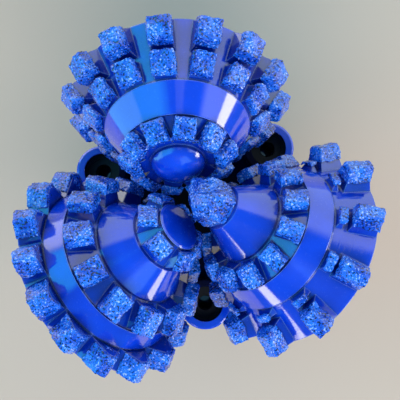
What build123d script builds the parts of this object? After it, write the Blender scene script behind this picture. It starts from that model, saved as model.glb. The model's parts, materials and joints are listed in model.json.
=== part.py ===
from build123d import *
import os
from math import cos, sin, radians, hypot

os.makedirs("parts", exist_ok=True)

# ---------------------------------------------------------------- bit layout
# The bit stands on its threaded pin, cones upwards. Z = 0 is the pin's end face, on the bit's axis.
# Three legs stand round the axis. Their journals point inwards and up, past the axis by the cone offset.
LEG_KEYS = "abc"
FIRST_AZIMUTH = 330.0
SPACING = 360.0 / len(LEG_KEYS)
AZIMUTH = {key: FIRST_AZIMUTH - i * SPACING for i, key in enumerate(LEG_KEYS)}
SEAM_AZIMUTH = SPACING / 2
JOURNAL_TILT = 34.2
TILT = radians(JOURNAL_TILT)
CONE_OFFSET = 9.7
RUN = 0.05

# ---------------------------------------------------------------- pin and body
PIN_LENGTH = 127.0
PIN_R_BASE = 76.2
PIN_TAPER = 1.0 / 12.0
PIN_LEAD = 3.0
PITCH = 6.35
THREAD_DEPTH = 3.0
THREAD_FLANK = 1.8
THREAD_CREST = 1.2
RELIEF_R = 73.8
RELIEF_LENGTH = 15.9
RELIEF_STEP = 2.0
SHOULDER_R = 93.45
NECK_R = 98.0
NECK_LENGTH = 31.0
WATER_R = 32.0
WATER_LENGTH = 118.0
PLENUM_R = 48.0
PLENUM_CHAMFER = 8.0
BODY_R = 110.0
BODY_LENGTH = 103.0
CROWN = 26.0
CROWN_R = 60.0
BODY_CHAMFER = 8.0
BODY_TOP = PIN_LENGTH + BODY_LENGTH
NECK_TOP = PIN_LENGTH + NECK_LENGTH
PLENUM_TOP = BODY_TOP - CROWN
BODY_EDGE = BODY_TOP - 22.0
BODY_FOOT = BODY_TOP - 45.0
APEX_RISE = 159.0
APEX_Z = BODY_TOP + APEX_RISE

# ---------------------------------------------------------------- journal bearing, s along the journal
BUTTON_START = 57.5
BUTTON_THICK = 4.8
BUTTON_R = 14.0
PILOT_END = BUTTON_START + BUTTON_THICK + 0.1
PILOT_R = 17.0
BUSH_R = 23.0
BUSH_LENGTH = 16.2
BUSH_START = PILOT_END - 0.2
BUSH_END = BUSH_START + BUSH_LENGTH
BALL_R = 6.35
BALL_CIRCLE_R = 30.0
BALL_COUNT = 14
LAND_GAP = 1.5
BALL_S = BUSH_END + 7.6
FLANGE_START = BALL_S + 7.2
FLANGE_THICK = 3.7
ROLLER_R = 6.45
ROLLER_RACE_R = 30.5
ROLLER_LENGTH = 24.2
ROLLER_COUNT = 17
ROLLER_START = FLANGE_START + FLANGE_THICK + 0.1
ROLLER_END = ROLLER_START + ROLLER_LENGTH
ROLLER_CIRCLE_R = ROLLER_RACE_R + RUN + ROLLER_R
CONE_RACE_R = ROLLER_CIRCLE_R + ROLLER_R + RUN
SEAL_LAND_R = ROLLER_RACE_R + 9.5
SEAL_CORD_R = 3.55
SEAL_START = ROLLER_END + 1.2
LIP = 1.5
BACKFACE = SEAL_START + 2 * SEAL_CORD_R + LIP
FACE_GAP = 1.6
ARM_FACE = BACKFACE + FACE_GAP

# ---------------------------------------------------------------- arm and shirttail
SHIRTTAIL_R = 67.0
ARM_HALF_WIDTH = 60.0
ARM_REACH = 150.0
ARM_TIP = 1.87
ARM_R = ARM_FACE * cos(TILT) + SHIRTTAIL_R * sin(TILT) + ARM_TIP
ARM_TOP = APEX_Z - 4.0
ARM_FOOT = PIN_LENGTH + 33.0
ARM_SHOULDER = BODY_TOP - 8.0
TAIL_CRUST = 1.8
TAIL_CRUST_WIDTH = 12.0
TAIL_CRUST_END = 15.0
TAIL_CRUST_DROP = 129.0
TAIL_CRUST_FOOT = APEX_Z - TAIL_CRUST_DROP

# ---------------------------------------------------------------- reservoir and ball hole
PORT_R = 6.6
PORT_DROP = 25.0
PORT_Z = APEX_Z - BALL_S * sin(TILT) - PORT_DROP * cos(TILT)
PLUG_START = 62.0
WELD_R = PORT_R + 2.4
WELD_START = ARM_R - 9.2
RESERVOIR_DROP = 144.0
RESERVOIR_Z = APEX_Z - RESERVOIR_DROP
RESERVOIR_R = 19.0
PASSAGE_R = 3.0
RESERVOIR_BOTTOM = ARM_R - 45.2
SNAP_X = ARM_R - 5.7
SNAP_THICK = 1.8
CAN_R = RESERVOIR_R - RUN
CAN_WALL = 1.6
CAN_FLOOR = 2.0
CAN_START = RESERVOIR_BOTTOM + 7.0
CAN_LENGTH = 25.5
DIAPHRAGM_RIM = CAN_START + CAN_LENGTH
RIM_THICK = 2.0

# ---------------------------------------------------------------- nozzle
BOSS_CENTRE_R = 92.0
BOSS_TURN = 6.0
BOSS_R = 24.0
BOSS_DROP = 142.0
BOSS_TOP = APEX_Z - BOSS_DROP
BOSS_HEIGHT = 79.0
BOSS_BOTTOM = BOSS_TOP - BOSS_HEIGHT
NOZZLE_BORE_R = 16.5
NOZZLE_LENGTH = 24.0
NOZZLE_TOP = BOSS_TOP - 18.0
NOZZLE_SEAT = NOZZLE_TOP - NOZZLE_LENGTH
FEED_Z = BOSS_BOTTOM + 19.0
FEED_R = 12.0
GROOVE_Z = NOZZLE_SEAT + 9.0
GROOVE_CORD_R = 2.2
GROOVE_R = NOZZLE_BORE_R + 3.2
RING_THICK = 3.0
RING_SEAT_R = NOZZLE_BORE_R + 1.5

# ------------------------------------------------------- cone outlines, (s, r) from the nose to the back
GAUGE_FOOT = (BACKFACE - 6.2, 82.0)
GAUGE_HEEL = (BACKFACE, 73.5)
GAUGE_CREST = (BACKFACE - 17.8, 99.7)
CAP = 3.0
CAP_SIDE = 2.0
LEDGE = 2.5
LEDGE_IN = 1.5
ROOT_SINK = 4.0
KNOB_FOOT_A = (BACKFACE - 30.4, 69.1)
KNOB_FOOT_C = (BACKFACE - 33.5, 69.9)

# A row: inner edge, inner crest, outer crest, outer edge,
# teeth, angle, crest width, root width, crust depth.
# A shelf is a low row of blocks in front of the gauge teeth, on the same sunken band.
ROWS = {
    "a": {
        "middle": ((56.9, 34.7), (49.5, 48.5), (64.5, 61.5), (72.3, 55.2), 12, 10.7, 15.0, 19.0, 10.0),
        "shelf": ((91.7, 64.3), (91.0, 71.5), (97.0, 76.0), KNOB_FOOT_A, 11, 1.5, 15.0, 22.0, 4.5),
        "gauge": (KNOB_FOOT_A, (94.5, 87.3), GAUGE_CREST, GAUGE_FOOT, 11, 1.5, 13.5, 25.0, 14.0),
    },
    "b": {
        "nose": ((21.5, 20.5), (20.5, 25.5), (31.5, 36.0), (44.0, 29.4), 6, 12.2, 19.0, 22.0, 7.0),
        "middle": ((67.6, 45.8), (58.0, 61.0), (75.5, 76.0), (85.3, 67.8), 12, 24.4, 18.5, 24.0, 11.0),
        "gauge": ((103.0, 73.6), (97.0, 89.0), GAUGE_CREST, GAUGE_FOOT, 15, 18.9, 13.0, 35.0, 15.5),
    },
    "c": {
        "nose": ((40.4, 22.4), (35.0, 37.0), (48.5, 50.5), (55.0, 46.0), 10, 25.5, 18.0, 21.0, 9.0),
        "shelf": ((78.0, 61.3), (80.0, 69.0), (94.0, 81.5), KNOB_FOOT_C, 14, 6.9, 21.0, 24.0, 6.0),
        "gauge": (KNOB_FOOT_C, (97.8, 89.6), GAUGE_CREST, GAUGE_FOOT, 14, 6.9, 20.0, 25.0, 11.0),
    },
}
# The teeth of these rows end flush and bare at the front; elsewhere the crust wraps the front end too.
BARE_FRONTS = [("b", "nose"), ("b", "gauge")]
NOSES = {
    "a": [(4.0, 0.0), (5.0, 9.0), (10.0, 14.0), (27.0, 16.0), (28.0, 19.0)],
    "b": [(20.5, 0.0), (20.5, 19.0)],
    "c": [(40.4, 0.0)],
}
DOME_TIP = 29.0
# Where the dome's arc passes: shares of the rim's radius, and of the depth from the tip to the rim.
DOME_MIDDLE = (0.56, 0.19)

# The spear's sections: s, then half its length and half its thickness across.
SPEAR = [(-3.0, 17.0, 7.0), (7.0, 21.0, 18.0), (21.0, 21.5, 20.5), (27.5, 19.0, 19.0)]
SPEAR_SIDES = 6
SPEAR_TURN = 34.0

# ---------------------------------------------------------------- journal frame, for the leg at azimuth 0
FOOT = Vector(0, CONE_OFFSET, APEX_Z)
OUT = Vector(cos(TILT), 0, -sin(TILT))
UP = Vector(sin(TILT), 0, cos(TILT))
SIDE = Vector(0, 1, 0)
SECTION = Plane(origin=FOOT, x_dir=UP, z_dir=SIDE)
CROSS = Plane(origin=FOOT, x_dir=UP, z_dir=OUT)
JOURNAL = Axis(FOOT, OUT)


def along(s, r):
    """Point at distance s along the journal and r above its axis."""
    return FOOT + OUT * s + UP * r


def turned(points):
    """(s, r) pairs as sketch coordinates of the section plane."""
    return [(r, s) for s, r in points]


def spun(points, axis=JOURNAL, plane=SECTION, arc=360.0, race=False):
    """Solid turned from a closed outline, with the ball race cut in it if asked."""
    with BuildPart() as solid:
        with BuildSketch(plane):
            with BuildLine():
                Polyline(*points, close=True)
            make_face()
            if race:
                with Locations((BALL_CIRCLE_R, BALL_S)):
                    Circle(BALL_R + RUN, mode=Mode.SUBTRACT)
        revolve(axis=axis, revolution_arc=arc)
    return solid.part


def rod(centre, direction, radius, length):
    """Round bar starting at a point."""
    with BuildPart() as solid:
        with BuildSketch(Plane(origin=centre, z_dir=direction)):
            Circle(radius)
        extrude(amount=length)
    return solid.part


def tube(centre, direction, outer, inner, length):
    """Round tube starting at a point."""
    with BuildPart() as solid:
        with BuildSketch(Plane(origin=centre, z_dir=direction)):
            Circle(outer)
            Circle(inner, mode=Mode.SUBTRACT)
        extrude(amount=length)
    return solid.part


def torus_at(s, ring_r, cord_r):
    """Ring of round cord about the journal."""
    with BuildPart() as solid:
        with BuildSketch(SECTION):
            with Locations((ring_r, s)):
                Circle(cord_r)
        revolve(axis=JOURNAL)
    return solid.part


def save(shape, name):
    """Labels and writes one piece."""
    piece = Part(shape.wrapped)
    piece.label = name
    export_step(piece, f"parts/{name}.step")


def save_group(shapes, name):
    """Labels and writes separate pieces that share one file."""
    group = Compound(children=[Part(s.wrapped) for s in shapes])
    group.label = name
    export_step(group, f"parts/{name}.step")


def step_between(a, b):
    """Unit direction from a to b and its outward normal."""
    length = hypot(b[0] - a[0], b[1] - a[1])
    d = ((b[0] - a[0]) / length, (b[1] - a[1]) / length)
    return d, (-d[1], d[0])


def moved(point, d, n, along_d, along_n):
    """Point shifted along a direction and its normal."""
    return (point[0] + d[0] * along_d + n[0] * along_n, point[1] + d[1] * along_d + n[1] * along_n)


def between(a, b, share):
    """Point at a share of the way from a to b."""
    return (a[0] + share * (b[0] - a[0]), a[1] + share * (b[1] - a[1]))


def ledge(inner, outer, gauge):
    """Outline of the sunken band that a row of teeth stands on."""
    d, n = step_between(inner, outer)
    points = [inner, moved(inner, d, n, LEDGE_IN, -LEDGE)]
    if gauge:
        return points + [outer]
    return points + [moved(outer, d, n, -LEDGE_IN, -LEDGE), outer]


def tooth(row, gauge, cap, bare_front):
    """One tooth: its steel wedge, or the hard crust over the wedge's upper part."""
    inner, crest_in, crest_out, outer, count, angle, crest_w, root_w, cap_depth = row
    d, n = step_between(crest_in, crest_out)
    band, rise = step_between(inner, outer)
    foot_in = moved(inner, band, rise, LEDGE_IN + 0.5, -LEDGE - 0.2)
    foot_out = moved(outer, band, rise, -LEDGE_IN - 0.5, -LEDGE - 0.2)
    if gauge:
        foot_out = moved(outer, band, rise, -0.8, -0.3)
    crest_mid = moved(crest_in, d, n, hypot(crest_out[0] - crest_in[0], crest_out[1] - crest_in[1]) / 2, 0)
    depth_in = (crest_in[0] - foot_in[0]) * n[0] + (crest_in[1] - foot_in[1]) * n[1]
    depth_out = (crest_out[0] - foot_out[0]) * n[0] + (crest_out[1] - foot_out[1]) * n[1]
    depth = max(depth_in, depth_out)
    if cap:
        f_in = cap_depth / depth_in
        f_out = cap_depth / depth_out
        low_in = between(crest_in, foot_in, f_in)
        low_out = between(crest_out, foot_out, f_out)
        outline = [low_in, crest_in, crest_out, low_out]
        top = 0.0
        half_crest = crest_w / 2
    else:
        top = -CAP
        half_crest = crest_w / 2 - CAP_SIDE
        low_in = (foot_in[0] + 1.5, foot_in[1] - ROOT_SINK)
        low_out = (foot_out[0] - 1.5, foot_out[1] - ROOT_SINK)
        core_in = moved(crest_in, d, n, CAP, -CAP)
        if bare_front:
            core_in = between(crest_in, foot_in, CAP / depth_in)
        core_out = moved(crest_out, d, n, -CAP, -CAP)
        outline = [low_in, foot_in, core_in, core_out, foot_out, low_out]
    half_root = root_w / 2 - (0.0 if cap else CAP_SIDE)
    bevel = 1.6
    wedge = [
        (-half_crest + bevel, top),
        (half_crest - bevel, top),
        (half_crest, top - bevel),
        (half_root, -depth),
        (half_root, -depth - 12.0),
        (-half_root, -depth - 12.0),
        (-half_root, -depth),
        (-half_crest, top - bevel),
    ]
    lift = OUT * d[0] + UP * d[1]
    with BuildPart() as solid:
        with BuildSketch(SECTION):
            with BuildLine():
                Polyline(*turned(outline), close=True)
            make_face()
        extrude(amount=root_w, both=True)
        with BuildSketch(Plane(origin=along(*crest_mid), x_dir=SIDE, z_dir=lift)):
            with BuildLine():
                Polyline(*wedge, close=True)
            make_face()
        extrude(amount=60, both=True, mode=Mode.INTERSECT)
    return solid.part


def ring_of(shape, count, angle):
    """Copies of a shape spaced round the journal, the first at the given angle."""
    return [shape.rotate(JOURNAL, -angle - i * 360.0 / count) for i in range(count)]


# ---------------------------------------------------------------- cones, their teeth and crusts
CAVITY = [
    (BACKFACE, 43.0),
    (BACKFACE - 1.5, 43.0),
    (BACKFACE - 1.5, SEAL_LAND_R + RUN + 2 * SEAL_CORD_R + RUN),
    (SEAL_START - 0.1, SEAL_LAND_R + RUN + 2 * SEAL_CORD_R + RUN),
    (SEAL_START - 0.1, CONE_RACE_R),
    (FLANGE_START - 0.2, CONE_RACE_R),
    (FLANGE_START - 0.2, BALL_CIRCLE_R + LAND_GAP),
    (BUSH_END + 0.4, BALL_CIRCLE_R + LAND_GAP),
    (BUSH_END + 0.4, BUSH_R),
    (BUSH_START - 0.2, BUSH_R),
    (BUSH_START - 0.2, BUTTON_R),
    (BUTTON_START, BUTTON_R),
    (BUTTON_START, 0.0),
]

steel_cones = {}
crusts = {}
for key, rows in ROWS.items():
    outline = list(NOSES[key])
    for name, row in rows.items():
        if name == "shelf":
            continue
        stepped = name == "gauge" and "shelf" in rows
        front = rows["shelf"][0] if stepped else row[0]
        outline += ledge(front, row[3], name == "gauge")
    outline += [GAUGE_HEEL] + CAVITY
    turned_body = spun(turned(outline), race=True)
    cores = []
    caps = []
    for name, row in rows.items():
        bare_front = (key, name) in BARE_FRONTS
        core = tooth(row, name == "gauge", False, bare_front)
        crust = tooth(row, name == "gauge", True, bare_front) - core
        cores += ring_of(core, row[4], row[5])
        caps += ring_of(crust, row[4], row[5])
    with BuildPart() as cone:
        add(turned_body)
        add(cores)
        if key == "c":
            with BuildSketch(SECTION):
                with BuildLine():
                    tip, rim = turned([(DOME_TIP, 0.0), ROWS["c"]["nose"][0]])
                    base = (0.0, rim[1])
                    depth = (rim[1] - tip[1]) * DOME_MIDDLE[1]
                    ThreePointArc(tip, (rim[0] * DOME_MIDDLE[0], tip[1] + depth), rim)
                    Polyline(rim, base, tip)
                make_face()
            revolve(axis=JOURNAL)
    steel_cones[key] = cone.part
    crusts[key] = caps

# The spear at the tip of cone a is a blunt chisel of crust over the cone's tip.
with BuildPart() as spear_crust:
    for s, half_length, half_thickness in SPEAR:
        corners = []
        for i in range(SPEAR_SIDES):
            turn = radians(360.0 * i / SPEAR_SIDES)
            corner = Vector(half_length * cos(turn), half_thickness * sin(turn))
            corners.append(corner.rotate(Axis.Z, SPEAR_TURN))
        with BuildSketch(CROSS.offset(s)):
            Polygon(*corners, align=None)
    loft(ruled=True)
    add(spun(turned(NOSES["a"] + [(28.0, 0.0)])), mode=Mode.SUBTRACT)
crusts["a"] = [spear_crust.part] + crusts["a"]

# ---------------------------------------------------------------- bearing pieces
with BuildPart() as roller:
    with BuildSketch(CROSS.offset(ROLLER_START)):
        with Locations((ROLLER_CIRCLE_R, 0)):
            Circle(ROLLER_R)
    extrude(amount=ROLLER_END - ROLLER_START)
    chamfer(roller.edges(), 0.6)
rollers = ring_of(roller.part, ROLLER_COUNT, 0.0)

with BuildPart() as ball:
    with Locations(Location(along(BALL_S, BALL_CIRCLE_R))):
        Sphere(BALL_R)
balls = ring_of(ball.part, BALL_COUNT, 0.0)

nose_bush = tube(along(BUSH_START, 0), OUT, BUSH_R, PILOT_R + RUN, BUSH_END - BUSH_START)
thrust_button = rod(along(BUTTON_START, 0), OUT, BUTTON_R, BUTTON_THICK)
seal = torus_at(SEAL_START + SEAL_CORD_R, SEAL_LAND_R + RUN + SEAL_CORD_R, SEAL_CORD_R)

# ------------------------------------------------------- leg: a third of pin and body, arm and journal
THREAD_END = PIN_LENGTH - RELIEF_LENGTH
thread = [(PIN_R_BASE - (PIN_LENGTH - PIN_LEAD) * PIN_TAPER - THREAD_DEPTH, 0.0)]
z = PIN_LEAD
while z < THREAD_END - PITCH:
    crest = PIN_R_BASE - (PIN_LENGTH - z) * PIN_TAPER
    rise_end = z + THREAD_FLANK
    crest_end = rise_end + THREAD_CREST
    thread += [(crest - THREAD_DEPTH, z), (crest, rise_end)]
    thread += [(crest, crest_end), (crest - THREAD_DEPTH, crest_end + THREAD_FLANK)]
    z += PITCH
leg_outline = [(WATER_R, 0.0)] + thread + [
    (RELIEF_R - THREAD_DEPTH, THREAD_END),
    (RELIEF_R, THREAD_END + RELIEF_STEP),
    (RELIEF_R, PIN_LENGTH),
    (SHOULDER_R, PIN_LENGTH),
    (NECK_R, PIN_LENGTH + 4.5),
    (NECK_R, NECK_TOP),
    (BODY_R, BODY_FOOT),
    (BODY_R, BODY_EDGE),
    (BODY_R - BODY_CHAMFER, BODY_EDGE + BODY_CHAMFER),
    (CROWN_R, BODY_TOP),
    (0.0, BODY_TOP),
    (0.0, PLENUM_TOP),
    (PLENUM_R - PLENUM_CHAMFER, PLENUM_TOP),
    (PLENUM_R, PLENUM_TOP - PLENUM_CHAMFER),
    (PLENUM_R, WATER_LENGTH + PLENUM_R - WATER_R + 6.0),
    (WATER_R, WATER_LENGTH),
]
THIRD = Plane.XZ.rotated((0, 0, -SEAM_AZIMUTH))
sector = spun(leg_outline, Axis.Z, THIRD, 2 * SEAM_AZIMUTH)
envelope_outline = [
    (PLENUM_R + 6.0, ARM_FOOT),
    (NECK_R + 2.0, ARM_FOOT),
    (ARM_R, ARM_SHOULDER),
    (ARM_R, ARM_TOP),
    (PLENUM_R + 6.0, ARM_TOP),
]
arm_limit = spun(envelope_outline, Axis.Z, THIRD, 2 * SEAM_AZIMUTH)

with BuildPart() as arm:
    with BuildSketch(CROSS.offset(ARM_FACE)):
        with BuildLine():
            Polyline(
                (0, SHIRTTAIL_R - 5),
                (0, -SHIRTTAIL_R + 5),
                (-ARM_REACH, -ARM_HALF_WIDTH),
                (-ARM_REACH, ARM_HALF_WIDTH),
                close=True,
            )
        make_face()
        Circle(SHIRTTAIL_R)
    extrude(amount=90)
    add(arm_limit, mode=Mode.INTERSECT)

JOURNAL_OUTLINE = [
    (PILOT_END, 0.0),
    (PILOT_END, PILOT_R - 1.0),
    (PILOT_END + 1.0, PILOT_R),
    (BUSH_END + 0.6, PILOT_R),
    (BUSH_END + 0.6, BALL_CIRCLE_R - LAND_GAP),
    (FLANGE_START, BALL_CIRCLE_R - LAND_GAP),
    (FLANGE_START, CONE_RACE_R - 1.2),
    (ROLLER_START - 0.1, CONE_RACE_R - 1.2),
    (ROLLER_START - 0.1, ROLLER_RACE_R),
    (ROLLER_END + 0.1, ROLLER_RACE_R),
    (ROLLER_END + 0.1, SEAL_LAND_R),
    (ARM_FACE + 8.0, SEAL_LAND_R),
    (ARM_FACE + 8.0, 0.0),
]
journal = spun(turned(JOURNAL_OUTLINE), race=True)

SEAM_CUT = 5.0
bosses = []
for azimuth in (BOSS_TURN - SEAM_AZIMUTH, BOSS_TURN + SEAM_AZIMUTH):
    spot = Vector(BOSS_CENTRE_R, 0, BOSS_BOTTOM).rotate(Axis.Z, azimuth)
    inward = Vector(-1, 0, 0).rotate(Axis.Z, azimuth)
    bosses.append((spot, inward))

WELD_BOTTOM = PIN_LENGTH + 6.0
WELD_TOP = BODY_EDGE - 2.0
WELD_DEPTH = 7.0
weld_ring = [
    (NECK_R - WELD_DEPTH, WELD_BOTTOM),
    (NECK_R, WELD_BOTTOM),
    (NECK_R, NECK_TOP),
    (BODY_R, BODY_FOOT),
    (BODY_R, WELD_TOP),
    (BODY_R - WELD_DEPTH, WELD_TOP),
    (BODY_R - WELD_DEPTH, BODY_FOOT + 1.0),
    (NECK_R - WELD_DEPTH, NECK_TOP + 2.0),
]
with BuildPart() as weld:
    add(spun(weld_ring, Axis.Z, Plane.XZ))
    with BuildSketch(Plane.XY.offset(WELD_BOTTOM)):
        with Locations((BODY_R, 0)):
            Rectangle(60, 2 * SEAM_CUT)
    extrude(amount=100, mode=Mode.INTERSECT)
    with BuildSketch(Plane.XY.offset(BOSS_BOTTOM)):
        with Locations(Vector(BOSS_CENTRE_R, 0).rotate(Axis.Z, BOSS_TURN)):
            Circle(BOSS_R)
    extrude(amount=BOSS_HEIGHT + 1, mode=Mode.SUBTRACT)
seam_weld = weld.part

with BuildPart() as leg:
    add(sector)
    add(arm.part)
    add(journal)
    with BuildSketch(Plane.YZ.offset(PLUG_START - 8.0)):
        with Locations((CONE_OFFSET, PORT_Z)):
            Circle(PORT_R)
    extrude(amount=ARM_R, mode=Mode.SUBTRACT)
    with BuildSketch(Plane.YZ.offset(WELD_START)):
        with Locations((CONE_OFFSET, PORT_Z)):
            Circle(WELD_R)
    extrude(amount=20, mode=Mode.SUBTRACT)
    with BuildSketch(Plane.YZ.offset(RESERVOIR_BOTTOM)):
        with Locations((CONE_OFFSET, RESERVOIR_Z)):
            Circle(RESERVOIR_R)
    extrude(amount=60, mode=Mode.SUBTRACT)
    with BuildSketch(Plane.YZ.offset(SNAP_X)):
        with Locations((CONE_OFFSET, RESERVOIR_Z)):
            Circle(RESERVOIR_R + 1.6)
    extrude(amount=SNAP_THICK, mode=Mode.SUBTRACT)
    with BuildSketch(Plane.XY.offset(RESERVOIR_Z)):
        with Locations((RESERVOIR_BOTTOM + PASSAGE_R + 0.2, CONE_OFFSET)):
            Circle(PASSAGE_R)
    extrude(amount=PORT_Z - RESERVOIR_Z, mode=Mode.SUBTRACT)
    for spot, inward in bosses:
        add(rod(spot, Vector(0, 0, 1), BOSS_R, 120), mode=Mode.SUBTRACT)
        add(rod(spot + Vector(0, 0, FEED_Z - BOSS_BOTTOM), inward, FEED_R, 60), mode=Mode.SUBTRACT)
    for azimuth in (-SEAM_AZIMUTH, SEAM_AZIMUTH):
        add(seam_weld.rotate(Axis.Z, azimuth), mode=Mode.SUBTRACT)

# ---------------------------------------------------------------- ball plug and grease reservoir
OUTWARD = Vector(1, 0, 0)


def in_arm(x, z):
    """Point in the arm's middle plane, x from the bit's axis."""
    return Vector(x, CONE_OFFSET, z)


ball_plug = rod(in_arm(PLUG_START, PORT_Z), OUTWARD, PORT_R - RUN, WELD_START - PLUG_START)
plug_weld = rod(in_arm(WELD_START, PORT_Z), OUTWARD, WELD_R, ARM_R - WELD_START + 0.4)

with BuildPart() as canister:
    add(rod(in_arm(CAN_START, RESERVOIR_Z), OUTWARD, CAN_R, CAN_LENGTH))
    add(rod(in_arm(CAN_START + CAN_FLOOR, RESERVOIR_Z), OUTWARD, CAN_R - CAN_WALL, 30), mode=Mode.SUBTRACT)
    add(rod(in_arm(RESERVOIR_BOTTOM, RESERVOIR_Z), OUTWARD, PASSAGE_R, 20), mode=Mode.SUBTRACT)

with BuildPart() as diaphragm:
    with BuildSketch(Plane.XZ.offset(-CONE_OFFSET)):
        with BuildLine():
            Polyline(
                (DIAPHRAGM_RIM + RIM_THICK, RESERVOIR_Z + 8.0),
                (DIAPHRAGM_RIM + RIM_THICK, RESERVOIR_Z + CAN_R),
                (DIAPHRAGM_RIM, RESERVOIR_Z + CAN_R),
                (DIAPHRAGM_RIM, RESERVOIR_Z + 15.5),
                (DIAPHRAGM_RIM - 16.0, RESERVOIR_Z + 13.0),
                (DIAPHRAGM_RIM - 21.0, RESERVOIR_Z + 7.0),
                (DIAPHRAGM_RIM - 21.0, RESERVOIR_Z),
                (DIAPHRAGM_RIM - 19.4, RESERVOIR_Z),
                (DIAPHRAGM_RIM - 19.4, RESERVOIR_Z + 6.4),
                (DIAPHRAGM_RIM - 15.2, RESERVOIR_Z + 11.5),
                (DIAPHRAGM_RIM - 1.0, RESERVOIR_Z + 13.8),
                (DIAPHRAGM_RIM - 1.0, RESERVOIR_Z + 8.0),
                close=True,
            )
        make_face()
    revolve(axis=Axis(in_arm(0, RESERVOIR_Z), OUTWARD))

VENT_R = 2.0
SPANNER_R = 1.8
SPANNER_SIDE = 9.0
COVER_START = DIAPHRAGM_RIM + RIM_THICK
with BuildPart() as reservoir_cap:
    add(rod(in_arm(COVER_START, RESERVOIR_Z), OUTWARD, CAN_R, SNAP_X - COVER_START))
    add(rod(in_arm(DIAPHRAGM_RIM, RESERVOIR_Z), OUTWARD, VENT_R, 20), mode=Mode.SUBTRACT)
    for side in (-SPANNER_SIDE, SPANNER_SIDE):
        socket = in_arm(SNAP_X - 3.0, RESERVOIR_Z) + SIDE * side
        add(rod(socket, OUTWARD, SPANNER_R, 20), mode=Mode.SUBTRACT)

with BuildPart() as snap_ring:
    with BuildSketch(Plane.YZ.offset(SNAP_X)):
        with Locations((CONE_OFFSET, RESERVOIR_Z)):
            Circle(RESERVOIR_R + 1.5)
            Circle(RESERVOIR_R - 2.2, mode=Mode.SUBTRACT)
            with Locations((0, RESERVOIR_R)):
                Rectangle(7, 8, mode=Mode.SUBTRACT)
    extrude(amount=SNAP_THICK - 0.1)

# ---------------------------------------------------------------- shirttail crust
with BuildPart() as shirttail:
    with BuildSketch(CROSS.offset(ARM_FACE)):
        Circle(SHIRTTAIL_R - 1.0)
        Circle(SHIRTTAIL_R - 1.0 - TAIL_CRUST_WIDTH, mode=Mode.SUBTRACT)
        with Locations((-TAIL_CRUST_END - SHIRTTAIL_R, 0)):
            Rectangle(2 * SHIRTTAIL_R, 2 * SHIRTTAIL_R, mode=Mode.SUBTRACT)
    extrude(amount=90)
    crust_shell = [
        (ARM_R, TAIL_CRUST_FOOT),
        (ARM_R + TAIL_CRUST, TAIL_CRUST_FOOT),
        (ARM_R + TAIL_CRUST, ARM_TOP),
        (ARM_R, ARM_TOP),
    ]
    add(spun(crust_shell, Axis.Z, THIRD, 2 * SEAM_AZIMUTH), mode=Mode.INTERSECT)

# ------------------------------------------------------- nozzle boss, nozzle, ring and O-ring, at azimuth 0
UPWARD = Vector(0, 0, 1)


def in_boss(z):
    """Point on the nozzle's axis at a height."""
    return Vector(BOSS_CENTRE_R, 0, z)


with BuildPart() as nozzle_boss:
    add(rod(in_boss(BOSS_BOTTOM), UPWARD, BOSS_R, BOSS_HEIGHT))
    chamfer(nozzle_boss.faces().sort_by(Axis.Z)[-1].edges(), 1.6)
    add(rod(in_boss(NOZZLE_SEAT), UPWARD, NOZZLE_BORE_R, 60), mode=Mode.SUBTRACT)
    add(rod(in_boss(BOSS_BOTTOM + 6.0), UPWARD, NOZZLE_BORE_R - 3.5, 40), mode=Mode.SUBTRACT)
    add(rod(in_boss(FEED_Z), -OUTWARD, FEED_R, 40), mode=Mode.SUBTRACT)
    add(rod(in_boss(GROOVE_Z - GROOVE_CORD_R), UPWARD, GROOVE_R, 2 * GROOVE_CORD_R), mode=Mode.SUBTRACT)
    add(rod(in_boss(NOZZLE_TOP), UPWARD, RING_SEAT_R, RING_THICK), mode=Mode.SUBTRACT)

with BuildPart() as nozzle:
    with BuildSketch(Plane.XZ):
        with BuildLine():
            Polyline(
                (BOSS_CENTRE_R + 12.5, NOZZLE_SEAT),
                (BOSS_CENTRE_R + NOZZLE_BORE_R - RUN, NOZZLE_SEAT),
                (BOSS_CENTRE_R + NOZZLE_BORE_R - RUN, NOZZLE_TOP),
                (BOSS_CENTRE_R + 7.5, NOZZLE_TOP),
                (BOSS_CENTRE_R + 6.5, NOZZLE_TOP - 3.0),
                (BOSS_CENTRE_R + 6.5, NOZZLE_TOP - 10.0),
                (BOSS_CENTRE_R + 9.5, NOZZLE_SEAT + 6.0),
                close=True,
            )
        make_face()
    revolve(axis=Axis(in_boss(0), UPWARD))

with BuildPart() as nozzle_oring:
    with BuildSketch(Plane.XZ):
        with Locations((BOSS_CENTRE_R + NOZZLE_BORE_R + 0.9, GROOVE_Z)):
            Circle(0.9 + RUN)
    revolve(axis=Axis(in_boss(0), UPWARD))

with BuildPart() as nozzle_ring:
    with BuildSketch(Plane.XY.offset(NOZZLE_TOP)):
        with Locations((BOSS_CENTRE_R, 0)):
            Circle(RING_SEAT_R - 0.1)
            Circle(NOZZLE_BORE_R - 3.0, mode=Mode.SUBTRACT)
        with Locations((BOSS_CENTRE_R + NOZZLE_BORE_R, 0)):
            Rectangle(10, 6, mode=Mode.SUBTRACT)
    extrude(amount=RING_THICK - 0.1)

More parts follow.
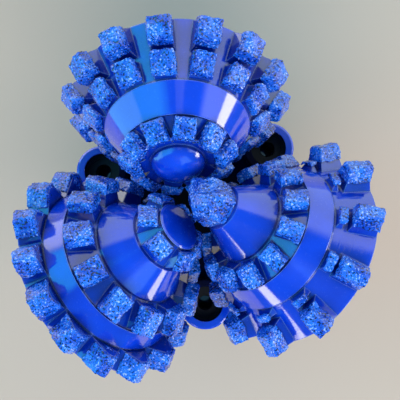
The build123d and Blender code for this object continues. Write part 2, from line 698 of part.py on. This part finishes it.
# ---------------------------------------------------------------- writing: one of each per leg
plug_welds = []
snap_rings = []
for key, azimuth in AZIMUTH.items():
    save(leg.part.rotate(Axis.Z, azimuth), f"leg_{key}")
    save(steel_cones[key].rotate(Axis.Z, azimuth), f"cone_{key}")
    save_group([p.rotate(Axis.Z, azimuth) for p in crusts[key]], f"cone_{key}_hardfacing")
    save_group([p.rotate(Axis.Z, azimuth) for p in rollers], f"bearing_rollers_{key}")
    save_group([p.rotate(Axis.Z, azimuth) for p in balls], f"bearing_balls_{key}")
    save(nose_bush.rotate(Axis.Z, azimuth), f"nose_bush_{key}")
    save(thrust_button.rotate(Axis.Z, azimuth), f"thrust_button_{key}")
    save(seal.rotate(Axis.Z, azimuth), f"seal_ring_{key}")
    save(ball_plug.rotate(Axis.Z, azimuth), f"ball_plug_{key}")
    save(canister.part.rotate(Axis.Z, azimuth), f"grease_canister_{key}")
    save(diaphragm.part.rotate(Axis.Z, azimuth), f"diaphragm_{key}")
    save(reservoir_cap.part.rotate(Axis.Z, azimuth), f"reservoir_cap_{key}")
    save(shirttail.part.rotate(Axis.Z, azimuth), f"shirttail_hardfacing_{key}")
    plug_welds.append(plug_weld.rotate(Axis.Z, azimuth))
    snap_rings.append(snap_ring.part.rotate(Axis.Z, azimuth))

oring_set = []
ring_set = []
weld_set = []
for key, azimuth in AZIMUTH.items():
    spin = azimuth + SEAM_AZIMUTH + BOSS_TURN
    save(nozzle_boss.part.rotate(Axis.Z, spin), f"nozzle_boss_{key}")
    save(nozzle.part.rotate(Axis.Z, spin), f"nozzle_{key}")
    oring_set.append(nozzle_oring.part.rotate(Axis.Z, spin))
    ring_set.append(nozzle_ring.part.rotate(Axis.Z, spin))
    weld_set.append(seam_weld.rotate(Axis.Z, azimuth + SEAM_AZIMUTH))
save_group(plug_welds, "ball_plug_welds")
save_group(snap_rings, "reservoir_snap_rings")
save_group(oring_set, "nozzle_o_rings")
save_group(ring_set, "nozzle_retaining_rings")
save_group(weld_set, "body_seam_welds")
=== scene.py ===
import json
import math

import bmesh
import bpy
from mathutils import Matrix, Vector


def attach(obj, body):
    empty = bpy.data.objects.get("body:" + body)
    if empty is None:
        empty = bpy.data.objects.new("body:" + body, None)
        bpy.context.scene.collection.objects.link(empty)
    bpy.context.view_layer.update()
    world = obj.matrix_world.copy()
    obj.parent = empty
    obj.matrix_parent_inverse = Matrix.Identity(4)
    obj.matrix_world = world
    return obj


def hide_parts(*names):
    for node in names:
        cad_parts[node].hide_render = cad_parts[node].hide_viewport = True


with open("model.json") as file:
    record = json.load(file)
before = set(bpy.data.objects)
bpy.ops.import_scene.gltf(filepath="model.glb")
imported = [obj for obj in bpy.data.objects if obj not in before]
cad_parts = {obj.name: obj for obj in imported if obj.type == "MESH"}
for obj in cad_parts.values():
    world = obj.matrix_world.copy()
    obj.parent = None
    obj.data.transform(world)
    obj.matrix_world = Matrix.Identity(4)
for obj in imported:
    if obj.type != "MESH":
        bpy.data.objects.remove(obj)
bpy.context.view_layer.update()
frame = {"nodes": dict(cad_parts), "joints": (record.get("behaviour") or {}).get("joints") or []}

NODES = frame["nodes"]
KEYS = ("a", "b", "c")
SPIN = {joint["child"]: joint for joint in frame["joints"]}

# The bit stands on its pin with the cones up. Heights and radii in metres.
SHOULDER_Z = 0.127
PAINT_FROM_Z = SHOULDER_Z + 0.0002
PAINT_FULL_Z = SHOULDER_Z + 0.0012
HOLLOW_FROM_Z = SHOULDER_Z + 0.07
HOLLOW_FULL_Z = SHOULDER_Z + 0.09
WOBBLE = 0.02
HOLLOW_R = 0.078 + WOBBLE / 2
PAINTED_R = 0.100 + WOBBLE / 2

# Linear colours.
PAINT_DEEP = (0.0004, 0.030, 0.52)
PAINT_LIGHT = (0.0010, 0.050, 0.72)
# Painted shade: the colour the paint darkens to where ambient occlusion finds nooks and gaps between
# parts.
NOOK_PAINTED_SHADE = (0.0003, 0.006, 0.10)
# Pale ledge paint: partly worn thin paint, partly a painted highlight.
EDGE_WEAR_AND_HIGHLIGHT = (0.30, 0.50, 0.92)
# Painted shade: near-black over the hollow middle between the legs.
HOLLOW_PAINTED_SHADE = (0.004, 0.005, 0.009)
PIN_DARK = (0.035, 0.036, 0.038)
PIN_PALE = (0.085, 0.085, 0.088)
# Painted shade in the crust's pits.
CRUST_PIT_SHADE = (0.0, 0.004, 0.05)
CRUST_DEEP = (0.002, 0.055, 0.54)
CRUST_LIGHT = (0.010, 0.155, 0.82)
# Painted glints: pale flecks on the crust, partly worn paint.
CRUST_GLINT = (0.42, 0.58, 0.92)
FLOOR_COLOUR = (0.52, 0.42, 0.36)
BACKDROP = (0.60, 0.58, 0.54)
LAMP_COLOUR = (1.0, 0.92, 0.83)

# Noise scales, in repeats per metre.
CLOUD_SCALE = 24.0
DUST_SCALE = 420.0
MARK_SCALE = 900.0
SPECK_SCALE = 560.0
PATCH_SCALE = 75.0
PEBBLE_SCALE = 480.0
GRAIN_SCALE = 300.0

# Depths and reaches of the looks, in metres.
PEEL_DEPTH = 0.0003
CRUST_DEPTH = 0.0006
GRAIN_DEPTH = 0.0002
EDGE_RADIUS = 0.0016
LEDGE_RADIUS = 0.0012
NOOK_REACH = 0.035

# Shares and levels of the looks.
MARK_SHARE = 0.35
PATCH_SHARE = 0.22
MATT_ROUGHNESS = 0.55
PAINT_SPECULAR = 0.15
HOLLOW_SPECULAR = 0.03
PAINT_COAT_IOR = 2.0
CRUST_COAT_IOR = 1.7
SHADE = 0.7

# Smooth steps: the two limits of a value, then what it becomes at each.
DUST_TO_ROUGHNESS = (0.35, 0.75, 0.12, 0.3)
# Bevel bend to pale ledge paint: partly wear, partly a painted highlight.
BEND_TO_WEAR_AND_HIGHLIGHT = (0.80, 0.99, 0.55, 0.0)
# Painted shade from ambient occlusion.
OPENNESS_TO_PAINTED_SHADE = (0.35, 0.95, 0.8, 0.0)
# Painted shade in the pits, and painted glints on the pale flecks.
SPOTS_TO_PIT_SHADE = (0.495, 0.55, 0.95, 0.0)
SPOTS_TO_GLINT_FLECKS = (0.71, 0.80, 0.0, 0.7)

# Places of the Mix node's colour sockets.
MIX_SHARE = 0
MIX_FIRST = 6
MIX_SECOND = 7
MIX_RESULT = 2


# ---------------------------------------------------------------- shader helpers
def new_material(name):
    """A material, its node tree and its surface shader."""
    material = bpy.data.materials.new(name)
    material.use_nodes = True
    tree = material.node_tree
    return material, tree, tree.nodes["Principled BSDF"]


def feed(tree, socket, value):
    """Link another socket to an input, or set a plain number, vector or colour on it."""
    if isinstance(value, bpy.types.NodeSocket):
        tree.links.new(value, socket)
    elif socket.type == "RGBA":
        socket.default_value = (*value, 1)
    else:
        socket.default_value = value


def feed_named(tree, made, values):
    for key, value in values.items():
        feed(tree, made.inputs[key], value)


def node(tree, kind, **values):
    """A new node with its inputs or properties set by name."""
    made = tree.nodes.new(kind)
    for key, value in values.items():
        if key in made.inputs:
            feed(tree, made.inputs[key], value)
        else:
            setattr(made, key, value)
    return made


def math_node(tree, operation, *values):
    """Arithmetic on numbers, each a socket or plain."""
    made = node(tree, "ShaderNodeMath", operation=operation)
    for socket, value in zip(made.inputs, values):
        feed(tree, socket, value)
    return made.outputs["Value"]


def vector_node(tree, operation, *values):
    """Arithmetic on vectors, each a socket or plain."""
    made = node(tree, "ShaderNodeVectorMath", operation=operation)
    for socket, value in zip(made.inputs, values):
        feed(tree, socket, value)
    return made.outputs


def noise(tree, place, scale, detail=2.0, roughness=0.5):
    made = node(tree, "ShaderNodeTexNoise", Scale=scale, Detail=detail, Roughness=roughness)
    feed(tree, made.inputs["Vector"], place)
    return made.outputs["Fac"]


def ramp(tree, value, low, high):
    """Colour between two (position, colour) stops."""
    made = node(tree, "ShaderNodeValToRGB", Fac=value)
    for stop, (position, colour) in zip(made.color_ramp.elements, (low, high)):
        stop.position = position
        stop.color = (*colour, 1)
    return made.outputs["Color"]


def remap(tree, value, low, high, to_low=0.0, to_high=1.0):
    """Smooth step of a value between two limits."""
    made = node(tree, "ShaderNodeMapRange", interpolation_type="SMOOTHSTEP", Value=value)
    feed_named(tree, made, {"From Min": low, "From Max": high, "To Min": to_low, "To Max": to_high})
    return made.outputs["Result"]


def blend(tree, share, first, second):
    """Mix of two colours, each a socket or plain, by a share."""
    made = node(tree, "ShaderNodeMix", data_type="RGBA")
    feed(tree, made.inputs[MIX_SHARE], share)
    feed(tree, made.inputs[MIX_FIRST], first)
    feed(tree, made.inputs[MIX_SECOND], second)
    return made.outputs[MIX_RESULT]


# ---------------------------------------------------------------- materials
def turning_marks(tree, place, joint):
    """Fine lathe marks: noise that changes only along a joint's axis."""
    offset = vector_node(tree, "SUBTRACT", place, joint["pos_m"])["Vector"]
    reach = vector_node(tree, "DOT_PRODUCT", offset, joint["axis"])["Value"]
    marks = node(tree, "ShaderNodeTexNoise", noise_dimensions="1D", W=reach, Scale=MARK_SCALE, Detail=2.0)
    return marks.outputs["Fac"]


def ledge_wear_and_highlight(tree):
    """Share of pale paint, partly worn thin and partly a painted highlight, where a small bevel turns
    away from the true surface.
    """
    rim = node(tree, "ShaderNodeBevel", samples=6, Radius=LEDGE_RADIUS).outputs["Normal"]
    flat = node(tree, "ShaderNodeNewGeometry").outputs["True Normal"]
    bend = vector_node(tree, "DOT_PRODUCT", rim, flat)["Value"]
    return remap(tree, bend, *BEND_TO_WEAR_AND_HIGHLIGHT)


def hollow_shade_and_bare_pin(tree, place, cloud):
    """Shares of the painted near-black shade over the bit's hollow middle, with a ragged edge, and of its
    bare pin.
    """
    apart = node(tree, "ShaderNodeSeparateXYZ", Vector=place).outputs
    flat = node(tree, "ShaderNodeCombineXYZ", X=apart["X"], Y=apart["Y"]).outputs["Vector"]
    radius = vector_node(tree, "LENGTH", flat)["Value"]
    ragged = math_node(tree, "ADD", radius, math_node(tree, "MULTIPLY", cloud, WOBBLE))
    middle = remap(tree, ragged, HOLLOW_R, PAINTED_R, 1.0, 0.0)
    above = remap(tree, apart["Z"], HOLLOW_FROM_Z, HOLLOW_FULL_Z)
    hollow = math_node(tree, "MULTIPLY", middle, above)
    pin = remap(tree, apart["Z"], PAINT_FROM_Z, PAINT_FULL_Z, 1.0, 0.0)
    return hollow, pin


def enamel(name, joint=None):
    """Sprayed gloss enamel over machined steel.

    A cone gives its joint: turning marks show through and its ledges get pale paint, partly worn thin and
    partly a painted highlight.
    The legs give none: the hollow middle between them gets a painted near-black shade, and the pin stays
    bare steel.
    Both get painted shade where ambient occlusion finds nooks.
    """
    material, tree, shader = new_material(name)
    place = node(tree, "ShaderNodeTexCoord").outputs["Object"]
    cloud = noise(tree, place, CLOUD_SCALE, detail=3.0, roughness=0.55)
    dust = noise(tree, place, DUST_SCALE)
    colour = ramp(tree, cloud, (0.3, PAINT_DEEP), (0.7, PAINT_LIGHT))
    roughness = remap(tree, dust, *DUST_TO_ROUGHNESS)
    if joint:
        height = math_node(tree, "MULTIPLY_ADD", turning_marks(tree, place, joint), MARK_SHARE, cloud)
        # Pale ledges: partly worn paint, partly a painted highlight.
        colour = blend(tree, ledge_wear_and_highlight(tree), colour, EDGE_WEAR_AND_HIGHLIGHT)
        coat = 1.0
        specular = PAINT_SPECULAR
    else:
        height = cloud
        hollow, pin = hollow_shade_and_bare_pin(tree, place, cloud)
        matt = math_node(tree, "MAXIMUM", hollow, pin)
        steel = ramp(tree, dust, (0.35, PIN_DARK), (0.65, PIN_PALE))
        # Painted shade: the hollow middle goes near-black.
        colour = blend(tree, hollow, colour, HOLLOW_PAINTED_SHADE)
        colour = blend(tree, pin, colour, steel)
        matt_roughness = math_node(tree, "MULTIPLY", matt, MATT_ROUGHNESS)
        roughness = math_node(tree, "MAXIMUM", roughness, matt_roughness)
        coat = math_node(tree, "SUBTRACT", 1.0, matt)
        specular = remap(tree, hollow, 0.0, 1.0, PAINT_SPECULAR, HOLLOW_SPECULAR)
    # Painted shade: the paint darkens where ambient occlusion finds nooks and gaps between parts.
    nook = node(tree, "ShaderNodeAmbientOcclusion", samples=6, Distance=NOOK_REACH)
    painted_shade = remap(tree, nook.outputs["AO"], *OPENNESS_TO_PAINTED_SHADE)
    edge = node(tree, "ShaderNodeBevel", samples=4, Radius=EDGE_RADIUS)
    peel = node(tree, "ShaderNodeBump", Strength=0.25, Distance=PEEL_DEPTH, Height=height)
    feed(tree, peel.inputs["Normal"], edge.outputs["Normal"])
    feed_named(tree, shader, {
        "Base Color": blend(tree, painted_shade, colour, NOOK_PAINTED_SHADE),
        "Roughness": roughness,
        "Specular IOR Level": specular,
        "Coat Weight": coat,
        "Coat Roughness": 0.05,
        "Coat IOR": PAINT_COAT_IOR,
        "Normal": peel.outputs["Normal"],
        "Coat Normal": peel.outputs["Normal"],
    })
    return material


def crust_enamel(name):
    """Enamel over a pebbled weld deposit: fine pits with painted shade, and pale flecks that are partly
    worn paint and partly painted glints, on clouded blue.
    """
    material, tree, shader = new_material(name)
    place = node(tree, "ShaderNodeTexCoord").outputs["Object"]
    speck = noise(tree, place, SPECK_SCALE)
    patch = noise(tree, place, PATCH_SCALE)
    grain = node(tree, "ShaderNodeTexVoronoi", Vector=place, Scale=PEBBLE_SCALE)
    cloud = ramp(tree, patch, (0.36, CRUST_DEEP), (0.62, CRUST_LIGHT))
    spots = math_node(tree, "MULTIPLY_ADD", patch, PATCH_SHARE, speck)
    pits = remap(tree, spots, *SPOTS_TO_PIT_SHADE)
    flecks = remap(tree, spots, *SPOTS_TO_GLINT_FLECKS)
    # Painted shade in the pits, then painted glints on the pale flecks.
    colour = blend(tree, pits, cloud, CRUST_PIT_SHADE)
    pebble = node(tree, "ShaderNodeBump", invert=True, Strength=0.7, Distance=CRUST_DEPTH)
    feed(tree, pebble.inputs["Height"], grain.outputs["Distance"])
    rough = node(tree, "ShaderNodeBump", Strength=0.8, Distance=CRUST_DEPTH, Height=speck)
    feed(tree, rough.inputs["Normal"], pebble.outputs["Normal"])
    feed_named(tree, shader, {
        "Base Color": blend(tree, flecks, colour, CRUST_GLINT),
        "Roughness": 0.2,
        "Coat Weight": 0.8,
        "Coat Roughness": 0.08,
        "Coat IOR": CRUST_COAT_IOR,
        "Normal": rough.outputs["Normal"],
        "Coat Normal": rough.outputs["Normal"],
    })
    return material


def plain(name, colour, roughness, metallic=1.0):
    """Plain metal or rubber with a fine grain, shaded down from its colour."""
    material, tree, shader = new_material(name)
    place = node(tree, "ShaderNodeTexCoord").outputs["Object"]
    grain = noise(tree, place, GRAIN_SCALE, detail=3.0)
    shaded = tuple(c * SHADE for c in colour)
    bump = node(tree, "ShaderNodeBump", Strength=0.2, Distance=GRAIN_DEPTH, Height=grain)
    feed_named(tree, shader, {
        "Base Color": ramp(tree, grain, (0.3, shaded), (0.7, colour)),
        "Metallic": metallic,
        "Roughness": roughness,
        "Normal": bump.outputs["Normal"],
    })
    return material


LEG_PAINT = enamel("leg_enamel")
CRUST = crust_enamel("crust_enamel")
STEEL = plain("bearing_steel", (0.62, 0.62, 0.64), roughness=0.18)
TURNED = plain("turned_steel", (0.38, 0.38, 0.4), roughness=0.35)
CARBIDE = plain("nozzle_carbide", (0.012, 0.012, 0.014), roughness=0.6, metallic=0.0)
ALLOY = plain("button_alloy", (0.45, 0.45, 0.5), roughness=0.25)
BRONZE = plain("bush_bronze", (0.55, 0.33, 0.12), roughness=0.3)
RUBBER = plain("seal_rubber", (0.02, 0.02, 0.02), roughness=0.6, metallic=0.0)

# Each node takes the look with the longest matching start of its name.
LOOKS = {
    "leg_": LEG_PAINT,
    "nozzle_boss_": LEG_PAINT,
    "reservoir_cap_": LEG_PAINT,
    "ball_plug_welds": LEG_PAINT,
    "body_seam_welds": LEG_PAINT,
    "shirttail_hardfacing_": CRUST,
    "bearing_": STEEL,
    "nose_bush_": BRONZE,
    "thrust_button_": ALLOY,
    "seal_ring_": RUBBER,
    "diaphragm_": RUBBER,
    "nozzle_o_rings": RUBBER,
    "ball_plug_": TURNED,
    "grease_canister_": TURNED,
    "reservoir_snap_rings": TURNED,
    "nozzle_": CARBIDE,
}
for key in KEYS:
    LOOKS[f"cone_{key}"] = enamel(f"cone_enamel_{key}", SPIN[f"roller_cone_{key}"])


def dress(obj, material):
    obj.data.materials.clear()
    obj.data.materials.append(material)


for name, obj in NODES.items():
    match = max((start for start in LOOKS if name.startswith(start)), key=len)
    dress(obj, LOOKS[match])


# ---------------------------------------------------------------- the crusts on the cones' teeth
SAME_POINT = 1e-6


def islands(mesh):
    """The points of each loose part of a bmesh."""
    seen = set()
    found = []
    for start in mesh.verts:
        if start in seen:
            continue
        stack = [start]
        island = []
        seen.add(start)
        while stack:
            vert = stack.pop()
            island.append(vert.co.copy())
            for edge in vert.link_edges:
                other = edge.other_vert(vert)
                if other not in seen:
                    seen.add(other)
                    stack.append(other)
        found.append(island)
    return found


def solid_blocks(source):
    """One filled block per loose part of a node: the crust with its tooth inside."""
    shape = bmesh.new()
    shape.from_mesh(source.data)
    bmesh.ops.remove_doubles(shape, verts=shape.verts, dist=SAME_POINT)
    result = bmesh.new()
    for island in islands(shape):
        fresh = [result.verts.new(co) for co in island]
        hull = bmesh.ops.convex_hull(result, input=fresh)
        spare = set(hull["geom_interior"]) | set(hull["geom_unused"])
        points = [v for v in spare if isinstance(v, bmesh.types.BMVert)]
        bmesh.ops.delete(result, geom=points, context="VERTS")
    shape.free()
    mesh = bpy.data.meshes.new(source.name + "_blocks")
    result.to_mesh(mesh)
    result.free()
    return mesh


def texture(name, kind, size):
    made = bpy.data.textures.new(name, kind)
    made.noise_scale = size
    return made


VOXEL = 0.0009
LUMPS = texture("lumps", "CLOUDS", size=0.012)
PEBBLES = texture("pebbles", "VORONOI", size=0.0022)

# Label, texture, height in metres, and the texture level that stays in place.
ROUGHENING = (
    ("lump", LUMPS, 0.0034, 0.56),
    ("pebble", PEBBLES, -0.0009, 0.35),
)


def pebbled(name, mesh, body, node_name):
    """A rough weld deposit grown from a mesh, in place of a CAD node."""
    crust = bpy.data.objects.new(name, mesh)
    bpy.context.scene.collection.objects.link(crust)
    dress(crust, CRUST)
    remesh = crust.modifiers.new("grains", "REMESH")
    remesh.mode = "VOXEL"
    remesh.voxel_size = VOXEL
    remesh.use_smooth_shade = True
    soften = crust.modifiers.new("soften", "SMOOTH")
    soften.factor = 0.5
    soften.iterations = 12
    for label, pattern, height, level in ROUGHENING:
        displace = crust.modifiers.new(label, "DISPLACE")
        displace.texture = pattern
        displace.strength = height
        displace.mid_level = level
    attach(crust, body)
    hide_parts(node_name)


for key in KEYS:
    teeth = NODES[f"cone_{key}_hardfacing"]
    pebbled(f"crust_{key}", solid_blocks(teeth), f"roller_cone_{key}", teeth.name)


# ---------------------------------------------------------------- floor, sky, lamps and camera
def floor_material():
    material, tree, shader = new_material("pale_floor")
    feed_named(tree, shader, {
        "Base Color": FLOOR_COLOUR,
        "Roughness": 0.9,
        "Specular IOR Level": 0.2,
    })
    return material


HALF = 1.1
FLOOR_Z = -0.0005
corners = [(x * HALF, y * HALF, 0) for x, y in ((-1, -1), (1, -1), (1, 1), (-1, 1))]
floor_mesh = bpy.data.meshes.new("floor")
floor_mesh.from_pydata(corners, [], [(0, 1, 2, 3)])
floor = bpy.data.objects.new("floor", floor_mesh)
floor.location.z = FLOOR_Z
bpy.context.scene.collection.objects.link(floor)
dress(floor, floor_material())

# What the paint reflects, by direction. Each patch has the azimuth of its middle, half its width,
# its lowest and highest elevation and the softness of its edges, in degrees, then its colour.
SKY_DEEP = (0.06, 0.20, 0.34)
SKY_PATCHES = (
    # A wide pale sky low down, and a narrower part of it higher up.
    (72.0, 74.0, -18.0, 43.0, 8.0, (0.92, 1.12, 1.02)),
    (65.0, 22.0, 40.0, 66.0, 6.0, (0.95, 1.1, 1.0)),
    # A white wall.
    (135.0, 18.0, -30.0, 14.0, 6.0, (1.9, 2.0, 2.0)),
    # High clear sky, cyan on one side and blue on the other.
    (170.0, 26.0, 26.0, 62.0, 8.0, (0.15, 1.3, 1.9)),
    (-58.0, 16.0, 28.0, 50.0, 8.0, (0.3, 0.75, 1.1)),
    # Three small lights near the horizon.
    (-9.0, 8.0, 1.0, 17.0, 1.5, (6.5, 6.2, 5.9)),
    (-48.0, 6.0, -6.0, 7.0, 1.5, (4.5, 4.3, 4.1)),
    (-116.0, 7.0, -3.0, 8.0, 1.5, (5.0, 4.8, 4.6)),
    # A tall narrow cyan strip.
    (-171.0, 11.0, -35.0, 28.0, 4.0, (0.5, 1.7, 2.2)),
)
FADE_PER_DEGREE = 0.017


def make_sky():
    """An open yard: bright patches over a calm blue, and a plain backdrop for the camera."""
    world = bpy.data.worlds.new("yard_sky")
    bpy.context.scene.world = world
    world.use_nodes = True
    tree = world.node_tree
    direction = node(tree, "ShaderNodeTexCoord").outputs["Generated"]
    apart = node(tree, "ShaderNodeSeparateXYZ", Vector=direction).outputs
    azimuth = math_node(tree, "ARCTAN2", apart["Y"], apart["X"])
    colour = SKY_DEEP
    for centre, half, low, high, soft, glow in SKY_PATCHES:
        away = math_node(tree, "SUBTRACT", azimuth, math.radians(centre))
        around = math_node(tree, "COSINE", away)
        outer = math.cos(math.radians(half + soft))
        inner = math.cos(math.radians(half))
        bottom = math.sin(math.radians(low))
        top = math.sin(math.radians(high))
        fade = FADE_PER_DEGREE * soft
        inside = remap(tree, around, outer, inner)
        above = remap(tree, apart["Z"], bottom - fade, bottom)
        below = remap(tree, apart["Z"], top, top + fade, 1.0, 0.0)
        band = math_node(tree, "MULTIPLY", above, below)
        colour = blend(tree, math_node(tree, "MULTIPLY", inside, band), colour, glow)
    direct = node(tree, "ShaderNodeLightPath").outputs["Is Camera Ray"]
    feed_named(tree, tree.nodes["Background"], {
        "Color": blend(tree, direct, colour, BACKDROP),
        "Strength": 1.0,
    })


make_sky()

CONES = Vector((0, 0, 0.36))


def softbox(name, place, width, height, power):
    """A soft lamp aimed at the cones, and left out of reflections: those show the sky patches."""
    lamp = bpy.data.lights.new(name, "AREA")
    lamp.shape = "RECTANGLE"
    lamp.size = width
    lamp.size_y = height
    lamp.energy = power
    lamp.color = LAMP_COLOUR
    obj = bpy.data.objects.new(name, lamp)
    obj.location = place
    obj.rotation_euler = (CONES - Vector(place)).to_track_quat("-Z", "Y").to_euler()
    obj.visible_glossy = False
    bpy.context.scene.collection.objects.link(obj)


softbox("key_box", (0.05, -1.25, 2.1), width=1.6, height=1.4, power=47.0)
softbox("side_box", (2.1, -0.45, 0.95), width=1.0, height=0.7, power=16.0)
softbox("left_box", (-1.2, 0.5, 2.3), width=1.1, height=1.1, power=3.5)

# The camera looks almost straight down on the cones.
ROLL = math.radians(-1.94)
EYE = Vector((0.0038, -0.0165, 1.1322))
TARGET = Vector((0.0070, 0.0034, 0.389))
SENSOR_MM = 36.0
LENS_MM = 84.2
turn = Matrix.Rotation(ROLL, 3, "Z")
eye = turn @ EYE
target = turn @ TARGET
forward = (target - eye).normalized()
right = forward.cross(turn @ Vector((0, 1, 0))).normalized()
up = right.cross(forward)
camera_data = bpy.data.cameras.new("camera")
camera_data.sensor_width = SENSOR_MM
camera_data.lens = LENS_MM
camera = bpy.data.objects.new("camera", camera_data)
camera.matrix_world = Matrix((
    (right.x, up.x, -forward.x, eye.x),
    (right.y, up.y, -forward.y, eye.y),
    (right.z, up.z, -forward.z, eye.z),
    (0, 0, 0, 1),
))
bpy.context.scene.collection.objects.link(camera)
bpy.context.scene.camera = camera
bpy.context.scene.view_settings.view_transform = "Standard"
